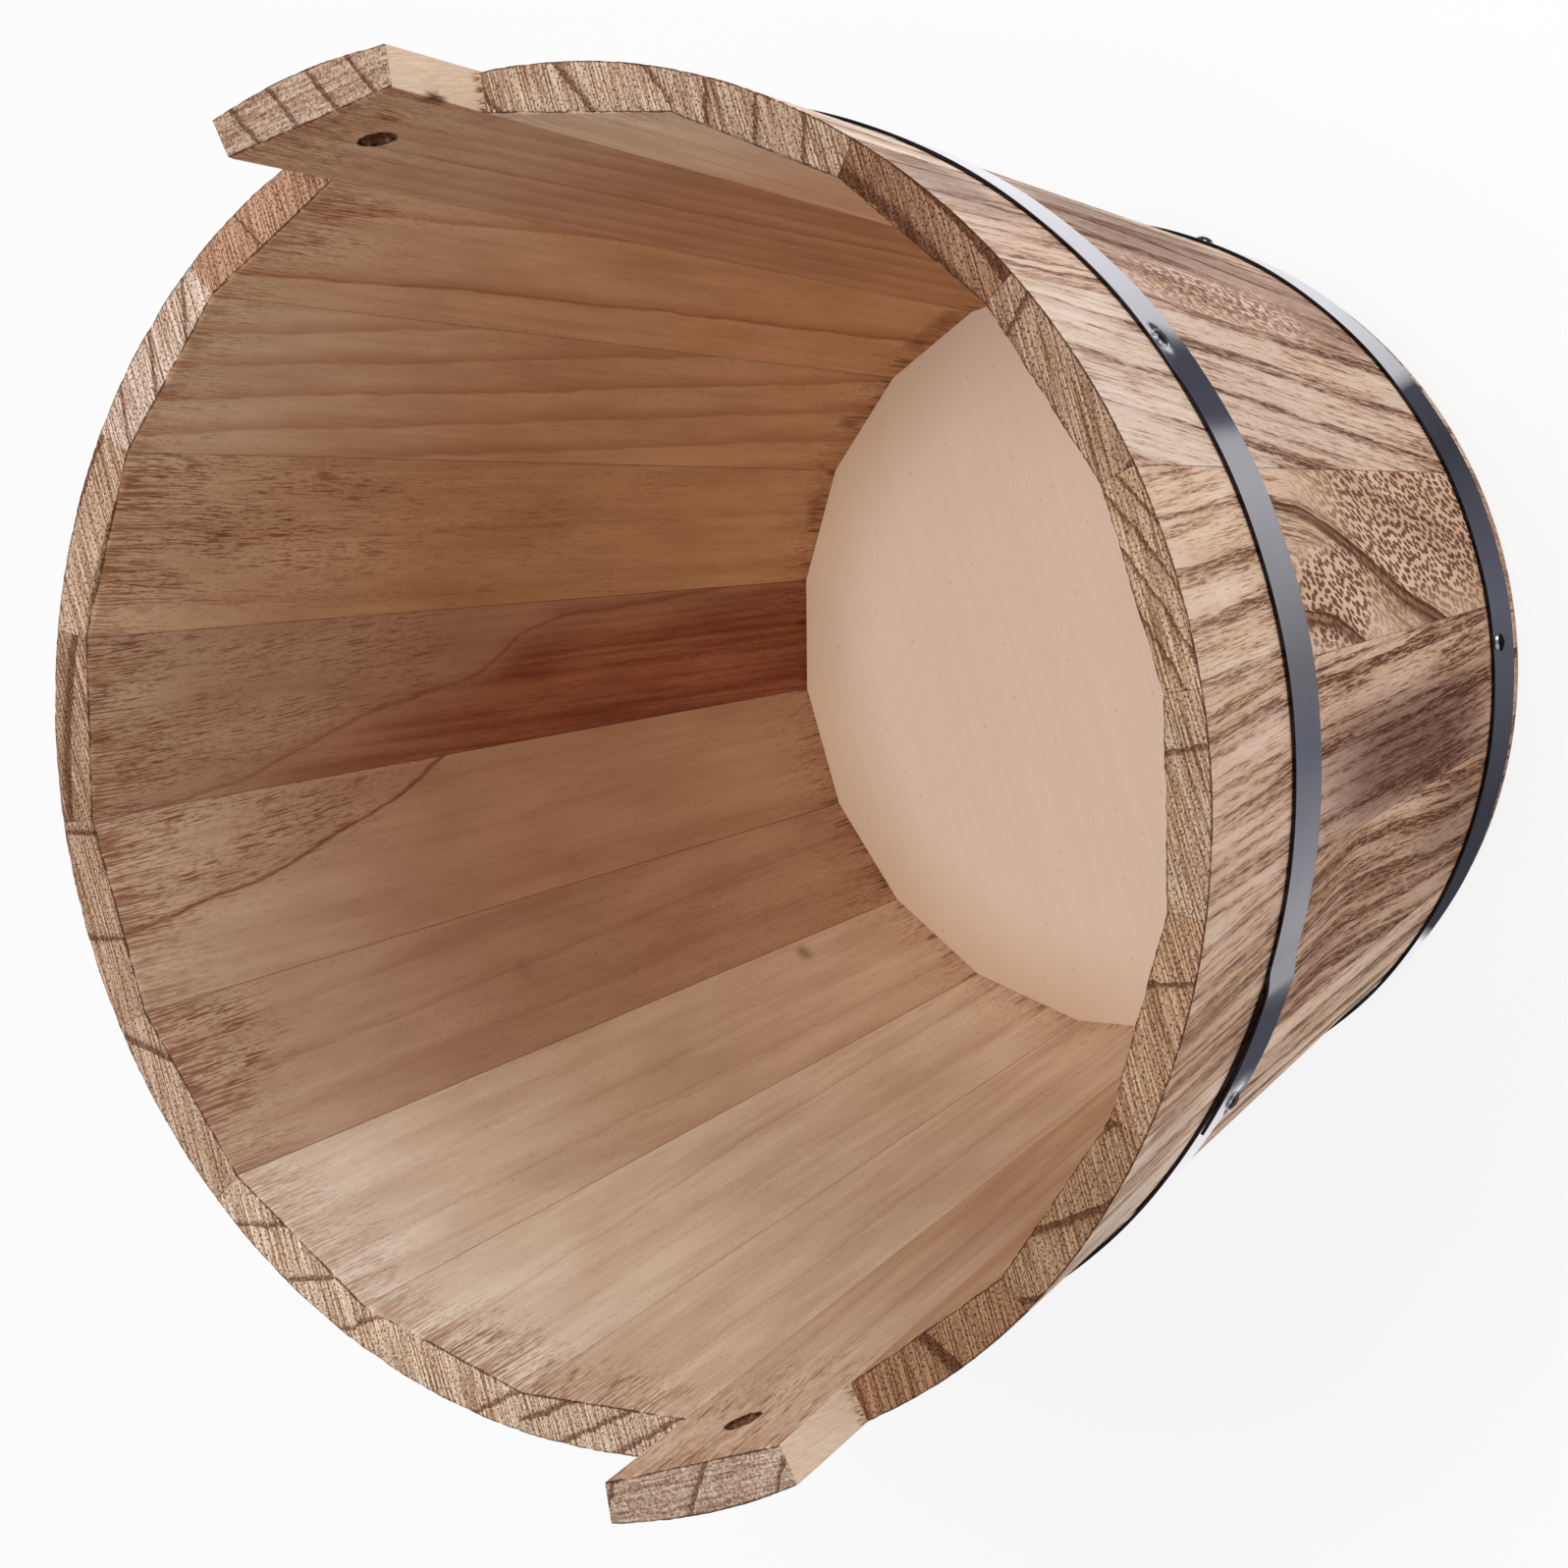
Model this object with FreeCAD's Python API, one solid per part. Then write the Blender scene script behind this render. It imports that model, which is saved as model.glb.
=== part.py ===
"""Staved wooden flower pot, in millimetres, +Z up, origin at the centre of its base.

Bevelled staves stand on a tapered ring. Outside they are turned to one cone, inside each is left flat.
Two opposite staves run on above the rim as ears, each bored for a rope. The bottom board sits in a groove
cut round the staves, and two lapped strip hoops, nailed to every fourth stave, hold the ring together.
"""
import FreeCAD, Part

import math
import os

# Ring of staves
RIM_DIAMETER = 300.0
BASE_DIAMETER = 210.0
RIM_HEIGHT = 247.0
WALL = 9.0  # level thickness at a joint, where a stave is thinnest

# Staves: two ears, and between them two sides of sawn widths, counted round from the ear on +X
EAR_WIDTH = 47.0  # chord of the outside at the rim
EAR_RISE = 32.0
ROPE_HOLE_DIAMETER = 8.0
ROPE_HOLE_RISE = 10.0  # from the rim to the middle of the hole
BACK_WIDTH_SHARES = (0.97, 1.00, 1.02, 0.95, 1.04, 0.99, 1.00, 1.03, 0.98)
FRONT_WIDTH_SHARES = (1.03, 1.01, 1.02, 0.99, 0.98, 0.99, 0.97, 0.97, 1.06)

# Bottom board and the groove that holds it
BOARD_THICKNESS = 5.0
BOARD_ARRIS = 0.6
CHIME = 3.2  # from the ends of the staves up to the groove
GROOVE_DEPTH = 3.0  # at a joint
GROOVE_CLEARANCE = 0.1

# Hoops
HOOP_WIDTH = 19.0  # along the slope of the wall
HOOP_THICKNESS = 0.8
HOOP_CLEARANCE = 0.2
UPPER_HOOP_DROP = 54.0  # from the rim to the hoop's upper edge
LOWER_HOOP_LIFT = 8.0  # from the base to the hoop's lower edge
LAP_LENGTH = 34.0
LAP_RAMP = 6.0
LAP_CLEARANCE = 0.1
LAP_CORNER_RADIUS = 3.0
LAP_END_MARGIN = 4.6  # from the lap's nail to the end of the strip

# Nails
NAIL_HEAD_DIAMETER = 4.6
NAIL_HEAD_HEIGHT = 1.2
NAIL_SHANK_DIAMETER = 1.6
NAIL_LENGTH = 7.0
NAIL_POINT = 2.2
NAIL_CLEARANCE = 0.05
NAIL_ACROSS_SHARE = 0.73  # place across the width of its stave
NAIL_STEP = 4  # staves from one nail of a hoop to the next
UPPER_NAIL_FIRST_STAVE = 0
LOWER_NAIL_FIRST_STAVE = 2
UPPER_NAIL_HEIGHT_SHARES = (0.45, 0.55, 0.48, 0.32, 0.68)  # place up the width of the hoop
LOWER_NAIL_HEIGHT_SHARES = (0.50, 0.40, 0.55, 0.66, 0.46)
UPPER_LAP_NAIL = 3
LOWER_LAP_NAIL = 1

OVERRUN = 5.0  # how far a cutting solid runs past what it cuts

RIM_RADIUS = RIM_DIAMETER / 2
BASE_RADIUS = BASE_DIAMETER / 2
TAPER = (RIM_RADIUS - BASE_RADIUS) / RIM_HEIGHT
TILT = math.atan(TAPER)
EAR_TOP = RIM_HEIGHT + EAR_RISE
UP = FreeCAD.Vector(0, 0, 1)
ORIGIN = FreeCAD.Vector(0, 0, 0)
FULL_TURN = 360.0


def outside_radius(z):
    return BASE_RADIUS + TAPER * z


def joint_radius(z):
    """Radius of the inside corner where two staves meet."""
    return outside_radius(z) - WALL


def stave_edges():
    """Angles of the joints in degrees, round from the ear on +X, with the first one again at the end."""
    ear = 2 * math.degrees(math.asin(EAR_WIDTH / RIM_DIAMETER))
    side = FULL_TURN / 2 - ear
    edges = [-ear / 2]
    for shares in (BACK_WIDTH_SHARES, FRONT_WIDTH_SHARES):
        edges.append(edges[-1] + ear)
        for share in shares:
            edges.append(edges[-1] + side * share / sum(shares))
    return edges


EDGES = stave_edges()
EAR_STAVES = (0, len(BACK_WIDTH_SHARES) + 1)


def polygon_face(points):
    return Part.Face(Part.makePolygon(points + points[:1]))


def profile(corners):
    """Face in the XZ plane from (radius, height) corners."""
    return polygon_face([FreeCAD.Vector(r, 0, z) for r, z in corners])


def turned(face, start, end):
    """Solid of revolution of an XZ face about the pot's axis, from one angle to another."""
    solid = face.revolve(ORIGIN, UP, end - start)
    solid.rotate(ORIGIN, UP, start)
    return solid


def stave(index, top):
    """One stave: a turned wedge with its inside planed flat, grooved for the bottom board."""
    start, end = EDGES[index], EDGES[index + 1]
    flat_share = math.cos(math.radians(end - start) / 2)

    def flat_distance(z):
        return joint_radius(z) * flat_share

    low, high = -OVERRUN, top + OVERRUN
    wedge = turned(profile([(flat_distance(0) / 2, 0), (outside_radius(0), 0),
                            (outside_radius(top), top), (flat_distance(top) / 2, top)]), start, end)
    hollow = profile([(0, low), (flat_distance(low), low), (flat_distance(high), high), (0, high)])
    hollow = hollow.extrude(FreeCAD.Vector(0, RIM_DIAMETER, 0))
    hollow.translate(FreeCAD.Vector(0, -RIM_RADIUS, 0))
    hollow.rotate(ORIGIN, UP, (start + end) / 2)
    groove = Part.makeCylinder(board_radius() + GROOVE_CLEARANCE, BOARD_THICKNESS + GROOVE_CLEARANCE,
                               FreeCAD.Vector(0, 0, CHIME))
    return wedge.cut(hollow).cut(groove)


def rope_hole(index):
    """Drill for an ear, square to the wall."""
    middle = math.radians((EDGES[index] + EDGES[index + 1]) / 2)
    z = RIM_HEIGHT + ROPE_HOLE_RISE
    outward = wall_normal(middle)
    start = FreeCAD.Vector(math.cos(middle), math.sin(middle), 0) * joint_radius(z) + UP * z
    reach = WALL + OVERRUN
    return Part.makeCylinder(ROPE_HOLE_DIAMETER / 2, 2 * reach, start - outward * reach, outward)


def wall_normal(angle):
    """Outward direction square to the wall, at an angle in radians."""
    return FreeCAD.Vector(math.cos(angle) * math.cos(TILT), math.sin(angle) * math.cos(TILT), -math.sin(TILT))


def board_radius():
    return joint_radius(CHIME + BOARD_THICKNESS) + GROOVE_DEPTH - GROOVE_CLEARANCE


def bottom_board():
    board = Part.makeCylinder(board_radius(), BOARD_THICKNESS, FreeCAD.Vector(0, 0, CHIME))
    rims = [edge for edge in board.Edges if edge.Closed]
    return board.makeChamfer(BOARD_ARRIS, rims)


class Hoop:
    """A strip hoop: where it lies on the wall, its nails, and the nail that its lap is fixed by."""

    def __init__(self, low, first_stave, height_shares, lap_nail):
        self.low = low
        self.high = low + HOOP_WIDTH * math.cos(TILT)
        self.lap_nail = lap_nail
        self.nails = []
        for count, share in enumerate(height_shares):
            index = (first_stave + count * NAIL_STEP) % (len(EDGES) - 1)
            angle = EDGES[index] + (EDGES[index + 1] - EDGES[index]) * NAIL_ACROSS_SHARE
            self.nails.append((index, math.radians(angle), self.low + (self.high - self.low) * share))

    def section(self, lift):
        """Section of the strip in the XZ plane, lifted off the wall by a clearance or by the layer below."""
        def at(up, out):
            return (outside_radius(self.low) + up * math.sin(TILT) + out * math.cos(TILT),
                    self.low + up * math.cos(TILT) - out * math.sin(TILT))

        face = lift + HOOP_THICKNESS
        return profile([at(0, lift), at(0, face), at(HOOP_WIDTH, face), at(HOOP_WIDTH, lift)])

    def strip(self):
        """The whole strip: once round on the wall, up a ramp, and on over its own start."""
        radius = outside_radius((self.low + self.high) / 2)
        over = HOOP_CLEARANCE + HOOP_THICKNESS + LAP_CLEARANCE
        lap_angle = math.degrees(LAP_LENGTH / radius)
        ramp_angle = math.degrees(LAP_RAMP / radius)
        end = math.degrees(self.nails[self.lap_nail][1] - LAP_END_MARGIN / radius)
        covered = end + lap_angle
        round_wall = turned(self.section(HOOP_CLEARANCE), covered + ramp_angle - FULL_TURN, covered)
        lap = rounded_end(turned(self.section(over), end, covered), end)
        foot = self.section(HOOP_CLEARANCE)
        foot.rotate(ORIGIN, UP, covered + ramp_angle)
        head = self.section(over)
        head.rotate(ORIGIN, UP, covered)
        ramp = Part.makeLoft([foot.OuterWire, head.OuterWire], True, True)
        strip = round_wall.fuse([ramp, lap]).removeSplitter()
        for number in range(len(self.nails)):
            strip = strip.cut(self.nail_drill(number))
        return strip

    def nail_seat(self, number):
        """Point on the face of the strip under a nail's head, and the outward direction there."""
        _, angle, z = self.nails[number]
        lift = HOOP_CLEARANCE + HOOP_THICKNESS
        if number == self.lap_nail:
            lift += LAP_CLEARANCE + HOOP_THICKNESS
        outward = wall_normal(angle)
        radial = FreeCAD.Vector(math.cos(angle), math.sin(angle), 0)
        return radial * outside_radius(z) + UP * z + outward * lift, outward

    def nail_drill(self, number):
        """Hole for a nail, through the strip and into the stave."""
        seat, outward = self.nail_seat(number)
        deep = NAIL_LENGTH + NAIL_CLEARANCE
        return Part.makeCylinder(NAIL_SHANK_DIAMETER / 2 + NAIL_CLEARANCE, deep + OVERRUN,
                                 seat - outward * deep, outward)

    def nail(self, number):
        """Domed nail, turned about its own axis and driven in square to the wall."""
        head, shank = NAIL_HEAD_DIAMETER / 2, NAIL_SHANK_DIAMETER / 2
        brim, crown = NAIL_CLEARANCE, NAIL_CLEARANCE + NAIL_HEAD_HEIGHT
        dome = (head ** 2 + NAIL_HEAD_HEIGHT ** 2) / (2 * NAIL_HEAD_HEIGHT)
        half_sweep = math.asin(head / dome) / 2
        shoulder = crown - dome * (1 - math.cos(half_sweep))
        arc = Part.Arc(FreeCAD.Vector(head, 0, brim), FreeCAD.Vector(dome * math.sin(half_sweep), 0, shoulder),
                       FreeCAD.Vector(0, 0, crown)).toShape()
        outline = Part.makePolygon([FreeCAD.Vector(0, 0, crown), FreeCAD.Vector(0, 0, -NAIL_LENGTH),
                                    FreeCAD.Vector(shank, 0, NAIL_POINT - NAIL_LENGTH),
                                    FreeCAD.Vector(shank, 0, brim), FreeCAD.Vector(head, 0, brim)])
        nail = Part.Face(Part.Wire(outline.Edges + [arc])).revolve(ORIGIN, UP, FULL_TURN)
        seat, outward = self.nail_seat(number)
        nail.Placement = FreeCAD.Placement(seat, FreeCAD.Rotation(UP, outward))
        return nail

    def all_nails(self):
        return Part.makeCompound([self.nail(number) for number in range(len(self.nails))])


def rounded_end(lap, angle):
    """Rounds the two free corners of a lap, at the end that lies at an angle in degrees."""
    direction = FreeCAD.Vector(-math.sin(math.radians(angle)), math.cos(math.radians(angle)), 0)
    corners = [edge for edge in lap.Edges
               if abs(edge.Length - HOOP_THICKNESS) < HOOP_THICKNESS / 2
               and abs(edge.CenterOfMass.dot(direction)) < LAP_CLEARANCE]
    return lap.makeFillet(LAP_CORNER_RADIUS, corners)


def save(shape, name):
    shape.exportStep(os.path.join("parts", name + ".step"))
    print(name, len(shape.Solids), "solids", round(shape.Volume), "mm3", "valid" if shape.isValid() else "INVALID")


def main():
    os.makedirs("parts", exist_ok=True)
    upper = Hoop(RIM_HEIGHT - UPPER_HOOP_DROP - HOOP_WIDTH * math.cos(TILT),
                 UPPER_NAIL_FIRST_STAVE, UPPER_NAIL_HEIGHT_SHARES, UPPER_LAP_NAIL)
    lower = Hoop(LOWER_HOOP_LIFT, LOWER_NAIL_FIRST_STAVE, LOWER_NAIL_HEIGHT_SHARES, LOWER_LAP_NAIL)

    for index in range(len(EDGES) - 1):
        is_ear = index in EAR_STAVES
        piece = stave(index, EAR_TOP if is_ear else RIM_HEIGHT)
        if is_ear:
            piece = piece.cut(rope_hole(index))
        for hoop in (upper, lower):
            for number, (nailed_stave, _, _) in enumerate(hoop.nails):
                if nailed_stave == index:
                    piece = piece.cut(hoop.nail_drill(number))
        save(piece, "%s_%02d" % ("ear_stave" if is_ear else "stave", index))

    save(bottom_board(), "bottom_board")
    save(upper.strip(), "upper_hoop")
    save(lower.strip(), "lower_hoop")
    save(upper.all_nails(), "upper_hoop_nails")
    save(lower.all_nails(), "lower_hoop_nails")


main()
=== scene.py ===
# %% [markdown]
# # A staved flower pot, dressed in Blender
# The pot is twenty bevelled staves round a bottom board, held by two nailed steel hoops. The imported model
# gives sizes and places, and staves and nails are measured on it. We give each piece the looks that solid
# modelling leaves out: eased and ragged edges, scorched and bare wood, bright strip steel and dark nails.

import math

import bmesh
import bpy
import numpy as np
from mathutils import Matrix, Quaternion, Vector, noise


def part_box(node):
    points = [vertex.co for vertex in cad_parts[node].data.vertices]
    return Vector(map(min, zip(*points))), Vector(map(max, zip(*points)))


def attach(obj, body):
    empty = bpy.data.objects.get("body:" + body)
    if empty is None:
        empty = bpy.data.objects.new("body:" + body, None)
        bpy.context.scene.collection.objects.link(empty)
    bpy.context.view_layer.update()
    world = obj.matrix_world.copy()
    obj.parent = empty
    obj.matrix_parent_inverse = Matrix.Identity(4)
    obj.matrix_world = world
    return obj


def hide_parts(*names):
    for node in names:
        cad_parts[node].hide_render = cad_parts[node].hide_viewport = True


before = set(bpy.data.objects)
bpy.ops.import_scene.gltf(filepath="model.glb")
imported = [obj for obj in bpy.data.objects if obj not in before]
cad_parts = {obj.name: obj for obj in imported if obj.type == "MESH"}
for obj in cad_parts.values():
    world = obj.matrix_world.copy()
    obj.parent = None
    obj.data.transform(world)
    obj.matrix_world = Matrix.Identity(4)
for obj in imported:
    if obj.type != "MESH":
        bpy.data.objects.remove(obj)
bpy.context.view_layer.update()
scene = bpy.context.scene
scene.view_settings.view_transform = "Standard"

# %% [markdown]
# ## Camera
# The photograph looks down into the mouth of a pot that lies on its side. Our pot stands, so the camera is
# rolled instead. A long lens from about a metre keeps the rim nearly as round as it looks there.

# %% Camera
EYE = Vector((-0.04720, -0.59005, 1.06031))
AIM = Vector((-0.01010, 0.03710, 0.12000))
ROLL = math.radians(-103.2)

bpy.ops.object.camera_add(location=EYE)
camera = bpy.context.object
camera.name = "camera"
camera.rotation_mode = "QUATERNION"
camera.rotation_quaternion = (AIM - EYE).to_track_quat("-Z", "Y") @ Quaternion((0, 0, 1), ROLL)
camera.data.sensor_width = 36
camera.data.lens = 108.12
scene.camera = camera
print("camera right", [round(v, 4) for v in camera.rotation_quaternion @ Vector((1, 0, 0))])

# %% [markdown]
# ## Shader sums
# A finish is easier to read as a sum than as a web of nodes. This small class wraps a socket, so that an
# expression such as `1 - ring * 0.5` adds its own Math nodes. Its method `node` adds any other node: the
# type, then the settings, then the sockets.

# %% Wires
class Wire:
    """A shader socket that takes Python's arithmetic."""

    def __init__(self, socket):
        self.socket = socket

    def node(self, kind, settings=None, sockets=None, out=0):
        made = self.socket.id_data.nodes.new(kind)
        for key, value in (settings or {}).items():
            if key == "stops":
                ramp = made.color_ramp.elements
                ramp.remove(ramp[1])
                ramp[0].position, ramp[0].color = value[0]
                for place, colour in value[1:]:
                    ramp.new(place).color = colour
            else:
                setattr(made, key, value)
        give(made, sockets or {})
        return Wire(made.outputs[out])

    def out(self, number):
        """Another output of the same node."""
        return Wire(self.socket.node.outputs[number])

    def math(self, operation, *values):
        return self.node("ShaderNodeMath", {"operation": operation}, dict(enumerate(values)))

    def __add__(self, other):
        return self.math("ADD", self, other)

    def __sub__(self, other):
        return self.math("SUBTRACT", self, other)

    def __mul__(self, other):
        return self.math("MULTIPLY", self, other)

    def __truediv__(self, other):
        return self.math("DIVIDE", self, other)

    def __rsub__(self, other):
        return self.math("SUBTRACT", other, self)

    __radd__ = __add__
    __rmul__ = __mul__

    def at_most(self, other):
        return self.math("MINIMUM", self, other)

    def at_least(self, other):
        return self.math("MAXIMUM", self, other)

    def step(self, low, high):
        """0 below low, 1 above high, smooth between."""
        return self.node("ShaderNodeMapRange", {"interpolation_type": "SMOOTHSTEP"},
                         {"Value": self, "From Min": low, "From Max": high})

    def stretched(self, x, y, z=1):
        """A vector with each part multiplied."""
        return self.node("ShaderNodeVectorMath", {"operation": "MULTIPLY"}, {0: self, 1: (x, y, z)})

    def grain(self, detail=2.0, roughness=0.5):
        """Soft noise from 0 to 1 over a vector."""
        return self.node("ShaderNodeTexNoise", {}, {"Vector": self, "Scale": 1.0, "Detail": detail,
                                                    "Roughness": roughness})

    def spots(self, core, edge):
        """1 inside scattered spots over the vector's x and y, 0 between them."""
        return 1 - self.node("ShaderNodeTexVoronoi", {"voronoi_dimensions": "2D"},
                             {"Vector": self, "Scale": 1.0}).step(core, edge)

    def mix(self, under, over):
        """A colour that goes from under to over as this value goes from 0 to 1."""
        return self.node("ShaderNodeMix", {"data_type": "RGBA"}, {0: self, 6: under, 7: over}, out=2)


def give(node, sockets):
    """Fills the sockets of a node: a wire is linked, a plain value is set."""
    for name, value in sockets.items():
        if isinstance(value, Wire):
            node.id_data.links.new(value.socket, node.inputs[name])
        else:
            node.inputs[name].default_value = value


def paint(red, green, blue):
    """A colour as a picture editor shows it, 0 to 255, in the linear light that shaders work in."""
    def linear(value):
        value /= 255
        return value / 12.92 if value <= 0.04045 else ((value + 0.055) / 1.055) ** 2.4

    return linear(red), linear(green), linear(blue), 1.0


def new_finish(name):
    """A material, its shader node and a first wire, the place on the object in metres."""
    material = bpy.data.materials.new(name)
    material.use_nodes = True
    shader = material.node_tree.nodes["Principled BSDF"]
    place = Wire(material.node_tree.nodes.new("ShaderNodeTexCoord").outputs["Object"])
    return material, shader, place


print("a mid grey in linear light", round(paint(128, 128, 128)[0], 3))

# %% [markdown]
# ## Stage
# A large pale floor, a soft even world and three soft lamps. One lamp hangs over the mouth, a little towards the
# ear on +X, and shines down to the bottom board. One stands low at the side and lights the outside, and a weak
# one fills the shade on the other side.
# To the camera the floor is nearly white by itself, with a part of plain paint left in it, so that the pot's
# shadow still shows.

# %% Floor, world and lamps
WHITE_SHARE = 0.86

bpy.ops.mesh.primitive_plane_add(size=12)
floor = bpy.context.object
floor.name = "floor"
floor_finish, floor_shader, floor_place = new_finish("floor_paint")
give(floor_shader, {"Base Color": (0.85, 0.85, 0.85, 1), "Roughness": 1.0, "Specular IOR Level": 0.0})
seen = floor_place.node("ShaderNodeLightPath", out=0)
seen = seen.at_least(seen.out(3)).at_least(seen.out(6))
white = floor_place.node("ShaderNodeEmission", {}, {"Color": (1, 1, 1, 1), "Strength": 1.0})
floor_mix = floor_place.node("ShaderNodeMixShader", {}, {0: seen * WHITE_SHARE,
                                                         1: Wire(floor_shader.outputs[0]), 2: white})
give(floor_finish.node_tree.nodes["Material Output"], {0: floor_mix})
floor.data.materials.append(floor_finish)

world = bpy.data.worlds.new("studio")
world.use_nodes = True
give(world.node_tree.nodes["Background"], {"Color": (1.0, 0.99, 0.98, 1), "Strength": 0.36})
scene.world = world


def lamp(name, place, aim, size, power):
    bpy.ops.object.light_add(type="AREA", location=place)
    made = bpy.context.object
    made.name = name
    made.data.size = size
    made.data.energy = power
    made.rotation_mode = "QUATERNION"
    made.rotation_quaternion = (Vector(aim) - Vector(place)).to_track_quat("-Z", "Y")
    print(name, power, "W")


lamp("mouth lamp", (0.30, -0.12, 1.55), (0, 0, 0.1), 0.6, 14)
lamp("side lamp", (0.92, -0.92, 0.45), (0, 0, 0.12), 0.7, 8)
lamp("fill lamp", (-0.95, -0.80, 0.70), (0, 0, 0.15), 0.9, 2.6)

# %% [markdown]
# Bright steel looks like whatever stands round it. Photographers give it something dark to show, with black and
# grey card beside the object. Ours lies flat on the floor round the foot: two rings, made from a circle that is
# extruded and widened twice. The lower hoop shows the near ring and the upper hoop the far one. Each ring's greys
# are a colour ramp round the circle, from an angle in degrees to a level, and a ramp takes at most 32 stops. The
# card is seen only in reflections.

# %% Reflection card
CARD_RADII = (0.1056, 0.130, 0.210)
BACK_CARD = ((14, 1.0), (45, 0.20), (68, 0.12), (98, 0.48), (134, 0.10), (164, 1.0))
NEAR_CARD = ((211, 0.95), (213, 0.05), (233, 0.05), (262, 0.13), (284, 0.055), (294, 0.075), (296, 0.56),
             (310, 0.79), (330, 1.0))
FAR_CARD = ((174, 1.0), (190, 0.75), (192, 0.08), (209, 0.07), (211, 0.30), (220, 0.36), (246, 0.14), (258, 0.165),
            (285, 0.43), (294, 0.43), (296, 0.08), (310, 0.065), (312, 0.60), (352, 1.0))


def card_greys(levels):
    """Stops of a ramp round the circle. Dark ones are slightly blue."""
    stops = []
    for angle, level in levels:
        red, green, blue = (0.91, 0.92, 1.20) if level < 0.15 else (0.965, 0.955, 1.02)
        stops.append((angle / 360, (red * level, green * level, min(blue * level, 1.0), 1)))
    return stops


bpy.ops.mesh.primitive_circle_add(vertices=180, radius=CARD_RADII[0], location=(0, 0, 0.0003))
card = bpy.context.object
card.name = "reflection_card"
bpy.ops.object.transform_apply(location=True, rotation=False, scale=False)
bpy.ops.object.mode_set(mode="EDIT")
bpy.ops.mesh.select_all(action="SELECT")
for inner, outer in zip(CARD_RADII, CARD_RADII[1:]):
    bpy.ops.mesh.extrude_edges_move()
    bpy.ops.transform.resize(value=(outer / inner, outer / inner, 1))
bpy.ops.object.mode_set(mode="OBJECT")

card_finish, card_shader, place = new_finish("card_grey")
x = place.node("ShaderNodeSeparateXYZ", {}, {0: place})
y = x.out(1)
turn = (x.math("ARCTAN2", -1 * y, -1 * x) + math.pi) / (2 * math.pi)
ring_joint = CARD_RADII[1] ** 2
far = (x * x + y * y).step(ring_joint * 0.999, ring_joint * 1.001)
near_grey, far_grey = (place.node("ShaderNodeValToRGB", {"stops": card_greys(BACK_CARD + front)}, {0: turn})
                       for front in (NEAR_CARD, FAR_CARD))
give(card_shader, {"Emission Color": far.mix(near_grey, far_grey), "Emission Strength": 1.0,
                   "Base Color": (0, 0, 0, 1), "Specular IOR Level": 0.0})
card.data.materials.append(card_finish)
card.visible_camera = card.visible_diffuse = card.visible_shadow = card.visible_transmission = False
print("card", len(card.data.polygons), "faces")

# %% [markdown]
# ## Staves
# A stave is a tapered board with bevelled sides, flat inside and rounded outside. We make a block for plain
# staves and a longer one for ears, ease their arrises with a bevel and divide them finely. Every stave is then a
# copy of a block, bent to its own place in the ring, which we measure on its solid.

# %% Stave blocks
BASE_RADIUS = 0.105
TAPER = 0.045 / 0.247
WALL = 0.009
BLOCK_WIDTH = 0.045
RIM_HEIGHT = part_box("stave_01")[1][2]
EAR_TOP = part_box("ear_stave_00")[1][2]
ARRIS = 0.00015


def pick_edges(block, test):
    """Selects, in edit mode, the edges whose two ends pass a test."""
    mesh = bmesh.from_edit_mesh(block.data)
    for edge in mesh.edges:
        edge.select = test(edge.verts[0].co, edge.verts[1].co)
    mesh.select_flush_mode()
    bmesh.update_edit_mesh(block.data)


def divide(block, axis, cuts):
    """Cuts all the long edges along one axis."""
    pick_edges(block, lambda a, b: abs(a[axis] - b[axis]) > 4 * ARRIS)
    bpy.ops.mesh.subdivide(number_cuts=cuts)


def eased_block(name, centre, size, arris, cuts):
    """A block with eased arrises, divided by pairs of axis and number of cuts."""
    bpy.ops.mesh.primitive_cube_add(size=1, location=centre, scale=size)
    block = bpy.context.object
    block.name = name
    bpy.ops.object.transform_apply(location=True, rotation=False, scale=True)
    bpy.ops.object.mode_set(mode="EDIT")
    bpy.ops.mesh.select_mode(type="EDGE")
    bpy.ops.mesh.select_all(action="SELECT")
    bpy.ops.mesh.bevel(offset=arris, offset_type="OFFSET", segments=1, affect="EDGES")
    for axis, number in cuts:
        divide(block, axis, number)
    bpy.ops.object.mode_set(mode="OBJECT")
    print(name, len(block.data.polygons), "faces")
    return block


def stave_block(name, top):
    """Depth along X from the inside, width along Y, length along Z."""
    return eased_block(name, (WALL / 2, 0, top / 2), (WALL, BLOCK_WIDTH, top), ARRIS, ((2, 79), (1, 47), (0, 7)))


plain_block = stave_block("plain_block", RIM_HEIGHT)
ear_block = stave_block("ear_block", EAR_TOP)

# %% [markdown]
# A block becomes a stave in three moves. Its rows are drawn together at the foot and at the rim, where the fine
# work is. Its sawn end gets a torn inner edge and a worn outer one, by chance from a seed for each stave. Then it
# is bent: straight across inside, from joint to joint, and along the circle outside. One ear has a small chip
# broken out of an arris.

# %% Bend a block into its place
EDGE_REACH = 0.0012
TEAR, WEAR = 0.00028, 0.00016
ROWS = {RIM_HEIGHT: ((0.0, 0.06, 0.90, 1.0), (ARRIS, 0.0083, 0.242, RIM_HEIGHT - ARRIS)),
        EAR_TOP: ((0.0, 0.06, 0.60, 1.0), (ARRIS, 0.0083, 0.238, EAR_TOP - ARRIS))}


def points_of(piece):
    return np.array([vertex.co for vertex in piece.data.vertices])


def copy_of(block, name):
    """A copy of a block, with a mesh of its own."""
    piece = block.copy()
    piece.data = block.data.copy()
    piece.name = name
    scene.collection.objects.link(piece)
    return piece


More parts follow.
